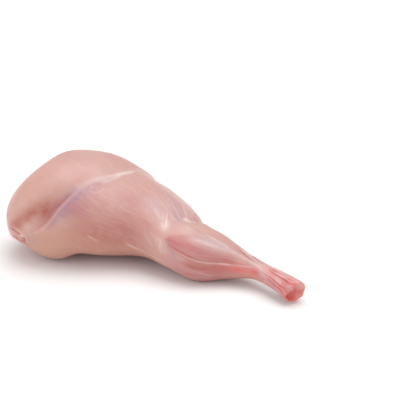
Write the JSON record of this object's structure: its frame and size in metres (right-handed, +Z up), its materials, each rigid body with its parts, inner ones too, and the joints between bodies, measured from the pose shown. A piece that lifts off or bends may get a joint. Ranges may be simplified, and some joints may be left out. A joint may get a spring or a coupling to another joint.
{
  "type": "raw rabbit leg",
  "caption": "Raw, skinned rabbit hind leg lying on its inner side: a full thigh, a knee, a tapering calf and a cut hock end.",
  "frame": {"origin": "centre of the leg's outline from above, on the surface that it rests on", "axes": "+X runs from the rump to the hock end, -Y is the near side of the picture, +Z is up"},
  "size_m": [0.1864, 0.0804, 0.0587],
  "materials": {
    "raw_meat": "moist raw meat, satin"
  },
  "bodies": {
    "root": {"rabbit_leg": "raw_meat"}
  },
  "joints": []
}
